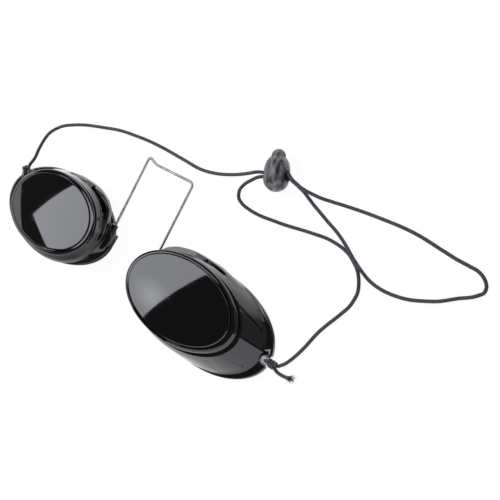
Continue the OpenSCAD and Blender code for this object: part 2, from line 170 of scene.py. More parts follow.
def smooth_route(points, step):
    """Cubic through the points: position and slope agree at each, slopes from their neighbours."""
    p = np.asarray(points, float)
    s = arc_length(p)
    slope = np.gradient(p, s, axis=0)
    t = np.linspace(0, s[-1], int(s[-1] / step) + 1)
    i = np.clip(np.searchsorted(s, t, side="right") - 1, 0, len(s) - 2)
    d = (s[i + 1] - s[i])[:, None]
    u = ((t - s[i]) / d[:, 0])[:, None]
    return ((2 * u**3 - 3 * u**2 + 1) * p[i] + (u**3 - 2 * u**2 + u) * d * slope[i]
            + (3 * u**2 - 2 * u**3) * p[i + 1] + (u**3 - u**2) * d * slope[i + 1])


corner = smooth_route([[0, 0], [3, 0], [3, 4]], 0.1)
print(f"a smooth route round a corner of 3 and 4 mm: {arc_length(corner)[-1]:.2f} mm")

# %% [markdown]
# A tube is a circle carried along a path. At each point the circle stands square to
# the path, and a reference direction keeps it from twisting. Its UV counts millimetres
# along the path and turns round it, so that a braid or a drawn line can follow it.

# %% Tubes
def tube(path, radius, reference=(0, 0, 1), sides=16, relief=None):
    """Points, quads and UVs of a closed tube; relief(along, round) scales its radius."""
    along = np.gradient(path, axis=0)
    side = unit(np.cross(reference, along))
    top = unit(np.cross(along, side))
    s = arc_length(path)
    turn = np.arange(sides) / sides
    scale = np.broadcast_to(np.asarray(radius, float).reshape(-1, 1), (len(path), sides)).copy()
    if relief is not None:
        scale = scale * relief(s[:, None], turn[None, :])
    a = 2 * np.pi * turn[None, :, None]
    rings = path[:, None] + scale[..., None] * (side[:, None] * np.cos(a) + top[:, None] * np.sin(a))
    rings = np.concatenate([path[:1, None] + 0 * rings[:1], rings, path[-1:, None] + 0 * rings[:1]])
    quads = grid_quads(len(rings), sides)
    row, column = quads[:, 0] // sides, quads[:, 0] % sides
    u = np.concatenate([s[:1], s, s[-1:]])
    uv = np.stack([np.stack([u[row + du], (column + dv) / sides], 1)
                   for du, dv in ((0, 0), (0, 1), (1, 1), (1, 0))], 1)
    return rings.reshape(-1, 3), quads, uv.reshape(-1, 2)


print("faces of a tube with two points and 16 sides:", len(tube(np.eye(3)[:2], 0.5)[1]))

# %% [markdown]
# The cord is 1.3 mm elastic with a braided cover. Its route repeats the points of the
# part's source, measured from the middle line of the cups: from the left knot through
# the lock, round the loop at the back, through the lock again and to the right knot.

# %% Points of the cord
MID_Y = 10.754
left_run = [
    [-67.9, 10.2, 1.5], [-67.1, 12.6, 1.8], [-66.9, 17.4, 2.4], [-65.4, 24.7, 3],
    [-61.5, 29.3, 3.2], [-55.6, 32.9, 3], [-42.3, 38, 2.2], [-35.5, 40.1, 1.7],
    [-28.4, 41.4, 1.2], [-21, 42.4, 0.9], [-13.4, 42.9, 0.7], [-4, 43.1, 0.7],
    [6.8, 43.5, 0.8], [13.1, 45, 1.3], [19.1, 47.2, 2.2], [24.3, 49.6, 3.4],
    [27.8, 51.5, 4.3], [30.3, 53, 4.8], [33.4, 54.3, 4.8], [37.5, 56.4, 4.8], [41.3, 58.1, 4.9]
]
back_loop = [
    [44.9, 56.8, 5], [46.7, 56.4, 4.6], [48.7, 56, 4.2], [50.7, 55.9, 3.6],
    [53.3, 56, 2.9], [56.7, 56.3, 2.4], [60.8, 57.1, 1.7], [65.1, 58, 1.1],
    [69.8, 58.9, 0.8], [81.2, 60.6, 0.7], [87, 61.3, 0.7], [93, 61.7, 0.7],
    [105, 61.3, 0.7], [110, 61.1, 0.7], [115, 61.2, 0.7], [119, 61.1, 0.7],
    [121.9, 59.9, 0.7], [123.5, 58.3, 0.7], [123.9, 56.4, 0.7], [122.5, 54.5, 0.7],
    [116.9, 50.3, 0.7], [112, 46.6, 0.7], [107.7, 44.3, 0.7], [103.2, 42.3, 0.7],
    [98, 40.9, 0.7], [91.3, 40.3, 0.7], [87.2, 40.8, 0.8], [84.1, 41.9, 1.5],
    [81.4, 43.1, 2], [78.2, 44.6, 2.1], [73.9, 46.8, 2], [67.6, 49.2, 1.3],
    [63, 50.5, 1.2], [58.7, 51.9, 1.5], [54.8, 53.2, 1.9], [52, 54.3, 2.2],
    [49.6, 55.2, 2.4], [47.1, 55.8, 2.8], [44.9, 56.3, 3.3], [43.8, 56.5, 3.6],
    [42, 57, 4]
]
right_run = [
    [38.1, 55.2, 4.3], [34, 53.1, 4.4], [31.6, 51.6, 4.5], [29.5, 49.4, 4.2],
    [27.5, 46.8, 3.7], [26.5, 44.1, 2.9], [27.4, 41.7, 2.2], [29.7, 40.5, 1.6],
    [32.8, 40.1, 1.1], [45.8, 41.5, 0.7], [59.6, 44.4, 0.7], [66.1, 45.5, 0.7],
    [69.7, 45.6, 0.7], [72.8, 45.4, 0.7], [75.9, 44.7, 0.7], [78.5, 43.5, 0.7],
    [80.8, 42.2, 0.7], [82.8, 40.4, 0.7], [84.5, 38.1, 0.7], [85.8, 35.3, 0.7],
    [86, 32.6, 0.7], [85.6, 29.5, 0.7], [84.5, 26.6, 0.7], [80.7, 17.5, 0.7],
    [78.4, 8.5, 0.7], [76.9, 4.4, 0.7], [75.4, 1.5, 0.9], [74.2, 0.1, 1.2]
]
right_tail = [[72.6, -1, 1.4], [74.6, -1.9, 0.9], [77.4, -1.9, 0.7], [80, -1.3, 1]]
left_tail = [[-68.9, 8.3, 1.5], [-70.2, 6.9, 1.1]]
print("points of the cord:", len(left_run), len(back_loop), len(right_run))

# %% [markdown]
# One smooth route runs through all three stretches, so their ends meet without a kink
# inside the lock, and it is parted there afterwards. The braid is real relief on the
# tube: its radius rises and falls a little where two sets of strands cross.

# %% Paths and braid of the cord's three stretches
CORD_D = 1.3
STRANDS = 8
BRAID_PITCH = 3.2
BRAID_RELIEF = 0.035
CORD_STEP = 0.25


def in_part(points):
    """Points measured from the cups' middle line, shifted to the part's origin."""
    return np.asarray(points, float) - [0, MID_Y, 0]


def braid(along, turn):
    """Radius of the cover: two sets of strands wind in opposite ways and lift each other."""
    one = np.sin(2 * np.pi * (STRANDS * turn + along / BRAID_PITCH * 2))
    other = np.sin(2 * np.pi * (STRANDS * turn - along / BRAID_PITCH * 2))
    return 1 + BRAID_RELIEF * one * other


route = smooth_route(in_part(left_run + back_loop + right_run), CORD_STEP)
first, second = (np.linalg.norm(route - in_part(p), axis=1).argmin() for p in (left_run[-1], back_loop[-1]))
left_path, loop_path, right_path = route[:first + 1], route[first:second + 1], route[second:]
for label, path in (("left", left_path), ("loop", loop_path), ("right", right_path)):
    print(f"cord, {label} stretch: {arc_length(path)[-1]:.1f} mm")

# %% [markdown]
# Materials are made of small nodes, and one function adds a node with its settings and
# links. Another turns a written sRGB colour into the linear one that a shader needs.
# A material starts from object coordinates times a thousand, so that its patterns can
# be written in millimetres and stay on the piece when it moves.

# %% Nodes and colours
def srgb(code):
    """Linear RGBA of an sRGB hex code: the lower part is a line, the rest a power of 2.4."""
    c = np.array([int(code[i:i + 2], 16) for i in (1, 3, 5)]) / 255
    return (*np.where(c <= 0.04045, c / 12.92, ((c + 0.055) / 1.055) ** 2.4).tolist(), 1.0)


def add(tree, kind, inputs=None, **settings):
    """Adds a node with its settings. An input takes a value, an output, or the first output of a node."""
    made = tree.nodes.new("ShaderNode" + kind)
    for name, value in settings.items():
        setattr(made, name, value)
    for name, value in (inputs or {}).items():
        if isinstance(value, bpy.types.Node):
            value = value.outputs[0]
        if isinstance(value, bpy.types.NodeSocket):
            tree.links.new(value, made.inputs[name])
        else:
            made.inputs[name].default_value = value
    return made


def new_material(name):
    """Empty material, its node tree and the node that gives its coordinates in millimetres."""
    material = bpy.data.materials.new(name)
    material.use_nodes = True
    tree = material.node_tree
    tree.nodes.clear()
    place = add(tree, "TexCoord").outputs["Object"]
    return material, tree, add(tree, "Mapping", {"Vector": place, "Scale": (1 / MM,) * 3})


print("a middle grey, linear:", round(srgb("#808080")[0], 3))

# %% [markdown]
# Wear is what tells the eye that a black gloss surface is plastic and in use: hairline
# scratches both ways and a grain of dust here and there. Both are patterns. A noise has
# one over the size of its patches as its scale, and a Map Range node stretches its
# value: inputs 0 to 4 are the value, the span it comes from and the span it goes to.
# Real scratches are too fine to show, so they are drawn half a millimetre wide, and
# SCRATCHES holds each way's width, its stretch along the axes and its least peak.

# %% Scratches and dust
SCRATCHES = ((0.5, (0.04, 1, 1), 0.72), (0.6, (1, 0.05, 1), 0.73))
SCRATCH_EDGE = 0.04
DUST_PER_MM = 0.4
DUST_R, DUST_EDGE = 0.03, 0.02


def scratches(tree, place):
    """Noises that are drawn out along one axis each, of which only the rare peaks are kept."""
    ways = []
    for width, stretch, peak in SCRATCHES:
        drawn_out = add(tree, "Mapping", {"Vector": place, "Scale": stretch})
        lines = add(tree, "TexNoise", {"Vector": drawn_out, "Scale": 1 / width, "Detail": 2})
        ways.append(add(tree, "MapRange", {0: lines, 1: peak, 2: peak + SCRATCH_EDGE}))
    return add(tree, "Math", {0: ways[0], 1: ways[1]}, operation="MAXIMUM")


def dust_grains(tree, place, share):
    """Small dots at the middles of a share of a Voronoi pattern's cells."""
    cells = add(tree, "TexVoronoi", {"Vector": place, "Scale": DUST_PER_MM})
    dots = add(tree, "MapRange", {0: cells, 1: DUST_R, 2: DUST_R + DUST_EDGE, 3: 1, 4: 0})
    chance = add(tree, "SeparateColor", {"Color": cells.outputs["Color"]})
    picked = add(tree, "MapRange", {0: chance, 1: 1 - share, 2: 1.001 - share})
    return add(tree, "Math", {0: dots, 1: picked}, operation="MULTIPLY")


print("scratch noises:", len(SCRATCHES), "dust cells are", 1 / DUST_PER_MM, "mm wide")

# %% [markdown]
# The cups are moulded in black ABS from a polished mould, so they mirror the studio:
# their roughness is very low. Hand smears about 9 mm wide dull it a little in places,
# and an orange peel of two hundredths of a millimetre bends the mirrored edges. The
# front is the best polished part and has the palest smears.

# %% Polished ABS
SMEAR_SIZE = 9
SCRATCH_SHARE, WEAR_ROUGHNESS = 0.12, 0.4
DUST_COLOUR = "#6F6C66"
PEEL_DEPTH = 0.02


def polished_plastic(name, colour, roughness, smear, peel_size, dust):
    """ABS with smears in its gloss, scratches, a share of dust and an orange peel."""
    material, tree, place = new_material(name)
    hands = add(tree, "TexNoise", {"Vector": place, "Scale": 1 / SMEAR_SIZE, "Detail": 5})
    smears = add(tree, "MapRange", {0: hands, 1: 0.42, 2: 0.7, 3: roughness, 4: roughness + smear})
    specks = dust_grains(tree, place, dust)
    lines = add(tree, "Math", {0: scratches(tree, place), 1: SCRATCH_SHARE}, operation="MULTIPLY")
    worn = add(tree, "Math", {0: specks, 1: lines}, operation="MAXIMUM")
    rough = add(tree, "Math", {0: worn, 1: WEAR_ROUGHNESS, 2: smears}, operation="MULTIPLY_ADD")
    mixed = add(tree, "Mix", {0: specks, 6: srgb(colour), 7: srgb(DUST_COLOUR)}, data_type="RGBA")
    peel = add(tree, "TexNoise", {"Vector": place, "Scale": 1 / peel_size, "Detail": 2})
    bump = add(tree, "Bump", {"Height": peel, "Distance": PEEL_DEPTH * MM, "Strength": 0.25})
    shader = add(tree, "BsdfPrincipled", {
        "Base Color": mixed.outputs[2], "Roughness": rough, "IOR": 1.5, "Normal": bump})
    add(tree, "OutputMaterial", {"Surface": shader})
    return material


polished_abs = polished_plastic("polished_black_abs", "#0A0A0B", 0.045, 0.05, 14, 0.12)
front_abs = polished_plastic("mirror_polished_black_abs", "#060607", 0.02, 0.03, 22, 0.2)
print("plastics:", polished_abs.name, front_abs.name)

# %% [markdown]
# Drawn stainless wire is a dull mirror with fine lines along it, and it tarnishes in
# patches of a few millimetres. The spring in the lock is brighter wire of the same kind.
# The lines follow the wire, so they are drawn on the tube's UV. There are 40 round the
# wire, each about 7 mm long, which is coarser than a real die's, too fine to show.

# %% Drawn steel
LINES_ROUND, LINES_ALONG = 40, 0.15
TARNISH_SIZE = 4
LINE_DEPTH = 0.004


def drawn_steel(name, colour, worn, roughness):
    """Steel with lines along the tube, which its UV gives in millimetres and in turns."""
    material, tree, place = new_material(name)
    around = add(tree, "UVMap", uv_map="along")
    drawn = add(tree, "Mapping", {"Vector": around, "Scale": (LINES_ALONG, LINES_ROUND, 1)})
    lines = add(tree, "TexNoise", {"Vector": drawn, "Scale": 1.0, "Detail": 3})
    patches = add(tree, "TexNoise", {"Vector": place, "Scale": 1 / TARNISH_SIZE, "Detail": 4})
    tarnish = add(tree, "MapRange", {0: patches, 1: 0.4, 2: 0.65})
    mixed = add(tree, "Mix", {0: tarnish, 6: srgb(colour), 7: srgb(worn)}, data_type="RGBA")
    rough = add(tree, "MapRange", {0: lines, 1: 0.3, 2: 0.7, 3: roughness - 0.08, 4: roughness + 0.12})
    bump = add(tree, "Bump", {"Height": lines, "Distance": LINE_DEPTH * MM, "Strength": 0.4})
    shader = add(tree, "BsdfPrincipled", {
        "Base Color": mixed.outputs[2], "Roughness": rough, "Metallic": 1.0, "Normal": bump})
    add(tree, "OutputMaterial", {"Surface": shader})
    return material


wire_steel = drawn_steel("drawn_stainless_wire", "#9C928C", "#827A75", 0.48)
coil_steel = drawn_steel("spring_steel_wire", "#B0ACA6", "#8C8780", 0.28)
print("steels:", wire_steel.name, coil_steel.name)

# %% [markdown]
# The cord's cover is braided polyester. Its yarns show as small lozenges, with painted
# shade darkening the grooves between them, and a little fibre sheen. The pattern repeats
# the relief of the tube on the tube's own UV, so it bends with the cord. Single fibres
# are too fine to show, so their noise has patches of 0.08 mm, about four fibres wide.

# %% Braided polyester
FIBRE_SIZE, FADE_SIZE = 0.08, 2.5
YARN_DEPTH = 0.05


def braided_polyester(name, yarn, groove_shade):
    """Braid drawn from the UV: the product of two crossing waves lifts one yarn over the next, and the low
    grooves get painted shade.
    """
    material, tree, place = new_material(name)
    parts = add(tree, "SeparateXYZ", {"Vector": add(tree, "UVMap", uv_map="along")}).outputs
    run = add(tree, "Math", {0: parts["X"], 1: 4 * np.pi / BRAID_PITCH}, operation="MULTIPLY")
    turn = add(tree, "Math", {0: parts["Y"], 1: 2 * np.pi * STRANDS}, operation="MULTIPLY")
    waves = [add(tree, "Math", {0: add(tree, "Math", {0: turn, 1: run}, operation=way)}, operation="SINE")
             for way in ("ADD", "SUBTRACT")]
    crossed = add(tree, "Math", {0: waves[0], 1: waves[1]}, operation="MULTIPLY")
    lift = add(tree, "MapRange", {0: crossed, 1: -0.8, 2: 0.6})
    fibres = add(tree, "TexNoise", {"Vector": place, "Scale": 1 / FIBRE_SIZE, "Detail": 2})
    patches = add(tree, "TexNoise", {"Vector": place, "Scale": 1 / FADE_SIZE, "Detail": 3})
    faded = add(tree, "MapRange", {0: patches, 1: 0.3, 2: 0.7, 3: 0.75, 4: 1})
    # Painted shade: the lower the braid, the darker its colour.
    tone = add(tree, "Math", {0: lift, 1: faded}, operation="MULTIPLY")
    mixed = add(tree, "Mix", {0: tone, 6: srgb(groove_shade), 7: srgb(yarn)}, data_type="RGBA")
    rough = add(tree, "MapRange", {0: fibres, 1: 0.3, 2: 0.7, 3: 0.6, 4: 0.85})
    height = add(tree, "Math", {0: lift, 1: fibres}, operation="ADD")
    bump = add(tree, "Bump", {"Height": height, "Distance": YARN_DEPTH * MM, "Strength": 0.5})
    shader = add(tree, "BsdfPrincipled", {
        "Base Color": mixed.outputs[2], "Roughness": rough, "Normal": bump,
        "Sheen Weight": 0.25, "Sheen Roughness": 0.4})
    add(tree, "OutputMaterial", {"Surface": shader})
    return material


# The second colour is the painted shade in the grooves between yarns.
cord_cover = braided_polyester("braided_black_polyester", "#3B3F46", "#111317")
print("cover:", cord_cover.name, "with", STRANDS, "strands each way")

# %% [markdown]
# The lock is moulded acetal, greyer than the cups. Its black is mixed with pale streaks
# that run along the plunger's axis, a painted reflection of its waxy sheen, and smaller
# marks of its own mottle them. Both sizes of marks are also faint hollows in the surface.

# %% Moulded acetal
LOCK_TURN = 27
STREAK_SIZE, STREAK_STRETCH = 2.5, (1.5, 0.45, 1)
MARK_SIZE, MARK_STRETCH = 1.2, (1.2, 0.6, 1)
MARK_DEPTH = 0.5


def moulded_acetal(name, dark, light):
    """Acetal with painted reflection in pale long marks along the plunger's axis, mottled by smaller marks,
    and a waxy sheen.
    """
    material, tree, place = new_material(name)
    pull = add(tree, "Mapping", {"Vector": place, "Rotation": (0, 0, np.radians(-LOCK_TURN))})
    long_way = add(tree, "Mapping", {"Vector": pull, "Scale": STREAK_STRETCH})
    short_way = add(tree, "Mapping", {"Vector": pull, "Scale": MARK_STRETCH})
    streak_noise = add(tree, "TexNoise", {"Vector": long_way, "Scale": 1 / STREAK_SIZE, "Detail": 3})
    marks = add(tree, "TexNoise", {"Vector": short_way, "Scale": 1 / MARK_SIZE, "Detail": 2})
    # The pale long marks are painted reflection of the sheen.
    streaks = add(tree, "MapRange", {0: streak_noise, 1: 0.41, 2: 0.64})
    mottle = add(tree, "MapRange", {0: marks, 1: 0.3, 2: 0.65, 3: 0.45, 4: 1})
    tone = add(tree, "Math", {0: streaks, 1: mottle}, operation="MULTIPLY")
    mixed = add(tree, "Mix", {0: tone, 6: srgb(dark), 7: srgb(light)}, data_type="RGBA")
    rough = add(tree, "MapRange", {0: marks, 1: 0.3, 2: 0.7, 3: 0.3, 4: 0.46})
    height = add(tree, "Math", {0: streak_noise, 1: marks}, operation="ADD")
    bump = add(tree, "Bump", {"Height": height, "Distance": MARK_DEPTH * MM, "Strength": 0.7})
    shader = add(tree, "BsdfPrincipled", {
        "Base Color": mixed.outputs[2], "Roughness": rough, "IOR": 1.48, "Normal": bump})
    add(tree, "OutputMaterial", {"Surface": shader})
    return material


# The pale second colour paints the reflection along the plunger's axis.
lock_acetal = moulded_acetal("moulded_grey_black_acetal", "#18181A", "#808082")
print("lock:", lock_acetal.name)

# %% [markdown]
# The two outer stretches of the cord end at the cups and stay where they lie, with no
# body of their own. The loop at the back stays with the bridge.

# %% Cord pieces
def cord_piece(name, path, node):
    """Braided tube along a path, which stands for one stretch of the cord."""
    piece = new_piece(name, *tube(path, CORD_D / 2, relief=braid))
    piece.data.materials.append(cord_cover)
    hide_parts(node)
    return piece


cord_left = cord_piece("cord_left", left_path, "cord_left_run")
cord_loop = cord_piece("cord_loop", loop_path, "cord_back_loop")
cord_right = cord_piece("cord_right", right_path, "cord_right_run")
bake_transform(cord_left)
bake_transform(cord_right)
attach(cord_loop, "bridge")
print("cord faces:", [len(piece.data.polygons) for piece in (cord_left, cord_loop, cord_right)])

# %% [markdown]
# A cup is a leaning oval column. A circle of the profile's radius is flattened to an
# oval, moved towards the nose and the brow as it rises, and tilted so that the front
# slopes down to the temple. All the cup's rings are that one formula with different
# profiles, which is why the pieces nest.

# %% Sizes of a cup, as in the part's source
RIM_L, RIM_H, RIM_T = 58, 33.8, 2
CUP_PITCH, CUP_CANT = 83, 2.1
SKIRT_R, SKIRT_ASPECT, SKIRT_TAPER, SHELL_T = RIM_L / 2 - 1.8, 0.61, 2.3, 1.5
SHOULDER_Z, SHOULDER_T = 13.1, 1.2
FRONT_Z = SHOULDER_Z + 2.6
FRONT_IN, FRONT_UP, FOOT_OUT = 6.4, 1.3, 1.2
SLOPE_X, SLOPE_Y = -np.tan(np.radians(5.7)), -np.tan(np.radians(1.7))
PANEL_R, PANEL_ASPECT, PANEL_WALL, PANEL_T, DOME = 22.3, 0.61, 1.4, 1.6, 0.7
BEAD_R, BEAD_W, BEAD_H, BEAD_ASPECT = PANEL_R + 0.3, 2.2, 2.1, 0.615
SEAT_GAP = 0.05
SIDES = {"right": 1, "left": -1}


def oval(radius, height, angle, aspect):
    """Circle point (r cos a, r sin a, z), sheared up the column, flattened and tilted."""
    x, y = radius * np.cos(angle), radius * np.sin(angle)
    lean = height / FRONT_Z
    return np.stack(np.broadcast_arrays(
        x - (FRONT_IN + FOOT_OUT) * lean + FOOT_OUT,
        aspect * y + FRONT_UP * lean,
        height + SLOPE_X * x + SLOPE_Y * aspect * y), -1)


def in_cup(points, side):
    """Points of a cup at its place: canted, moved out, mirrored for the left and shifted."""
    a = np.radians(-CUP_CANT)
    x = points[..., 0] * np.cos(a) - points[..., 1] * np.sin(a) + CUP_PITCH / 2
    y = points[..., 0] * np.sin(a) + points[..., 1] * np.cos(a)
    return np.stack([side * x, y - MID_Y, points[..., 2]], -1)


temple = in_cup(oval(SKIRT_R, 0, 0, SKIRT_ASPECT), 1)
print("temple end of the right skirt's foot:", np.round(temple, 1))

# %% [markdown]
# In the photograph the front is a little shorter at the temple than a true oval, by
# more at its outer edge than in the middle. The panel, the bead and the skirt's upper
# end all take the same small pull, so they still nest. TEMPLE gives its share by the
# angle in degrees, and PULL the millimetres by the radius.

# %% Rings of a cup
TEMPLE = ((0, 1), (50, 0.7), (90, 0.1), (120, 0), (220, 0), (270, 0.5), (310, 0.9), (360, 1))
PULL = ((0, 0), (PANEL_R, 0.6), (BEAD_R, 0.6), (BEAD_R + BEAD_W, 1.4))


def arc(centre_r, centre_z, radius, start, end, steps=8):
    """Points of an arc in a profile, from one angle to another in degrees."""
    a = np.radians(np.linspace(start, end, steps))
    return np.stack([centre_r + radius * np.cos(a), centre_z + radius * np.sin(a)], 1)


def pulled_in(radius, angle):
    """How much nearer the middle a front radius lies: the front is a little shorter at the temple."""
    share = np.interp(np.degrees(angle) % 360, *np.transpose(TEMPLE))
    return share * np.interp(radius, *np.transpose(PULL))


def oval_ring(name, profile, aspect, side, columns=360, closed=True):
    """Profile of (radius, height) points carried once round the oval."""
    angle = np.linspace(0, 2 * np.pi, columns, endpoint=False)[None, :]
    radius = profile[:, :1] - pulled_in(profile[:, :1], angle)
    grid = oval(radius, profile[:, 1:], angle, aspect)
    quads = grid_quads(len(profile), columns, close_rows=closed)
    return new_piece(name, in_cup(grid, side).reshape(-1, 3), quads)


print("pull at the temple, at the bead's outside:", pulled_in(BEAD_R + BEAD_W, 0), "mm")

# %% [markdown]
# The front panel is a thin domed cap. Its edge has a radius of 0.4 mm, which draws the
# fine bright line round it in the photograph. The dome is a shallow parabola, so the
# mirrored boxes keep nearly straight edges in it.

# %% Profile of the front panel
EDGE_R = 0.4


def panel_profile():
    """Closed outline of the cap, from the middle underneath round the wall to the dome's middle."""
    base = SHOULDER_Z + SEAT_GAP
    flat = PANEL_R - EDGE_R
    inner = PANEL_R - PANEL_WALL
    r = np.linspace(flat, 0, 48)[1:]
    dome = np.stack([r, FRONT_Z + DOME * (1 - (r / flat) ** 2)], 1)
    under = np.linspace(0, inner - 0.6, 12)
    return np.concatenate([
        np.stack([under, FRONT_Z + DOME * (1 - (under / flat) ** 2) - PANEL_T], 1),
        [[inner, FRONT_Z - PANEL_T - 0.6], [inner, base], [PANEL_R - 0.1, base], [PANEL_R, base + 0.1]],
        arc(flat, FRONT_Z - EDGE_R, EDGE_R, 0, 87, 9),
        dome])


print("points in the panel's profile:", len(panel_profile()))

# %% [markdown]
# The bead is a separate ring that holds the panel. Its top slopes away from the panel
# and grows steeper outwards, then rounds down to an upright wall, and a narrow gap to
# the panel shows as a dark groove. The slope is an arc between two angles in degrees.

# %% Beads and front panels
BEAD_SLOPES = (22, 8)
BEAD_ARC, BEAD_ROUND = 6.5, 0.75
INNER_DROP = 0.2


def bead_profile():
    """Closed outline of the bead: a slope away from the panel that rounds down to the skirt."""
    base = SHOULDER_Z + SEAT_GAP
    outer = BEAD_R + BEAD_W
    slope, crest = np.radians(BEAD_SLOPES)
    drop = BEAD_ARC * (np.cos(crest) - np.cos(slope)) + BEAD_ROUND * np.cos(slope)
    round_r, round_z = outer - BEAD_ROUND, base + BEAD_H - drop
    arc_r = round_r - (BEAD_ARC - BEAD_ROUND) * np.sin(slope)
    arc_z = round_z - (BEAD_ARC - BEAD_ROUND) * np.cos(slope)
    return np.concatenate([
        [[BEAD_R, base], [outer - 0.1, base], [outer, base + 0.1]],
        arc(round_r, round_z, BEAD_ROUND, 0, 90 - BEAD_SLOPES[0], 12),
        arc(arc_r, arc_z, BEAD_ARC, 90 - BEAD_SLOPES[0], 90 - BEAD_SLOPES[1], 8)[1:],
        [[BEAD_R, base + BEAD_H - INNER_DROP]]])


for label, side in SIDES.items():
    panel = oval_ring(f"{label}_panel", panel_profile(), PANEL_ASPECT, side, closed=False)
    dress(panel, f"{label}_cup", "panel_plastic", front_abs, f"{label}_front_panel")
    bead = oval_ring(f"{label}_bead", bead_profile(), BEAD_ASPECT, side)
    dress(bead, f"{label}_cup", "shell_plastic", polished_abs, f"{label}_rim_ring")
    print(label, "panel and bead:", len(panel.data.polygons), len(bead.data.polygons), "faces")

# %% [markdown]
# The skirt is the outer wall of a cup. It is a little fuller towards the cheek, swells
# into a hood towards the brow and the nose, and has a boss low down at the nose where
# the wire's socket is. Each swelling is a curve by the angle in degrees times a smooth
# rise and fall by the height, added to the plain skirt's radius. A rise has the height
# that it starts at and how far it takes, and a fall also the share that it takes away.

# %% Swellings of the skirt
HOOD = ((70, 0), (84, 1), (95, 2.1), (105, 3), (118, 4.7), (131, 5.4), (140, 5.1), (150, 3.6),
        (160, 2.3), (172, 1.8), (185, 1.2), (200, 0))
CHEEK = ((195, 0), (215, 1.5), (235, 2), (260, 1.6), (285, 0.9), (310, 0))
BOSS_OUT, BOSS_START, BOSS_END, BOSS_SOFT = 3.4, 146, 206, 22
HOOD_RISE, CHEEK_RISE, BOSS_RISE = (2.4, 2.8), (2.4, 3), (1.7, 0.6)
HOOD_FALLS = ((7, 2.8, 0.7), (9.5, 3.5, 0.2))
CHEEK_FALLS = ((9, 4.1, 0.9),)
BOSS_FALLS = ((3.8, 2.2, 1),)


def skirt_radius(z):
    """Radius of the skirt: straight at the foot, then drawn in by a parabola to the shoulder."""
    t = np.clip((z - 1) / (SHOULDER_Z - 1.4), 0, 1)
    return SKIRT_R - SKIRT_TAPER * t * (0.45 + 0.55 * t)


def rise(t):
    """0 below 0, 1 above 1 and a smooth step between."""
    t = np.clip(t, 0, 1)
    return t * t * (3 - 2 * t)


def window(value, low, high, soft):
    """1 between low and high, falling to 0 over soft on each side."""
    return rise((value - low) / soft) * rise((high - value) / soft)


def by_height(z, up, falls):
    """Share of a swelling at a height: its smooth rise times what the smooth falls leave of it."""
    left = 1 - sum(share * rise((z - start) / over) for start, over, share in falls)
    return rise((z - up[0]) / up[1]) * left


def fullness(z, degrees):
    """How far the wall swells beyond the plain skirt: the hood, the fuller cheek side and the boss."""
    turn = degrees % 360
    hood = np.interp(turn, *np.transpose(HOOD)) * by_height(z, HOOD_RISE, HOOD_FALLS)
    cheek = np.interp(turn, *np.transpose(CHEEK)) * by_height(z, CHEEK_RISE, CHEEK_FALLS)
    boss = BOSS_OUT * window(turn, BOSS_START, BOSS_END, BOSS_SOFT) * by_height(z, BOSS_RISE, BOSS_FALLS)
    return hood + cheek + boss


print("the hood's greatest swelling:", round(float(fullness(6.0, np.arange(360)).max()), 1), "mm")

# %% [markdown]
# The skirt stands on the rim, which is level while the column leans, so its foot is
# cut level and has a small lip. Three fine ribs run along the hood below the slots, as
# a wave by the height that fades out at both ends.

# %% Foot and ribs of the skirt
RIBS, RIB_PITCH, RIB_H, RIB_START = 3, 0.9, 0.16, 3.6
RIB_ENDS, RIB_FADE = (92, 150), 3
LIP_OUT, LIP_H = 0.35, 0.55


def ribs(z, degrees):
    """Height of the ribs: a cosine wave by the height, which fades out at both ends of the hood."""
    wave = 0.5 - 0.5 * np.cos(2 * np.pi * (z - RIB_START) / RIB_PITCH)
    top = RIB_START + RIBS * RIB_PITCH
    return RIB_H * wave * window(z, RIB_START - 0.1, top + 0.1, 0.1) * window(degrees, *RIB_ENDS, RIB_FADE)


def foot_height(angle):
    """Height in the leaning column at which the skirt meets the level rim."""
    level = RIM_T + SEAT_GAP
    return level - SKIRT_R * (SLOPE_X * np.cos(angle) + SLOPE_Y * SKIRT_ASPECT * np.sin(angle))


print("height of the foot in the column, temple and nose:", np.round(foot_height(np.radians([0, 180])), 2))

# %% [markdown]
# Two slots on the hood's upper slope let air in. A Boolean would cut them too, but it
# leaves ragged faces in a thin curved wall. Here each slot is cut into the grid itself:
# the points near its outline move onto it, and the faces inside it are left out.

# %% Grid of the wall with its slots
SLOT_Z, SLOT_H = 7.6, 1.8
SLOTS = ((84, 106), (113, 146))
SEAM, FINE_END = 80, 152
FINE_STEP, COARSE_STEP = 0.3, 1.6
WALL_ROWS = 64
CATCH = 0.12
SHOULDER_ROUND = 0.2


def slot_distance(along, z, start, end):
    """Signed distance to a slot with round ends, in millimetres: negative inside it."""
    r = SLOT_H / 2
    middle = np.clip(along, start + r, end - r)
    return np.hypot(along - middle, z - (SLOT_Z + r)) - r


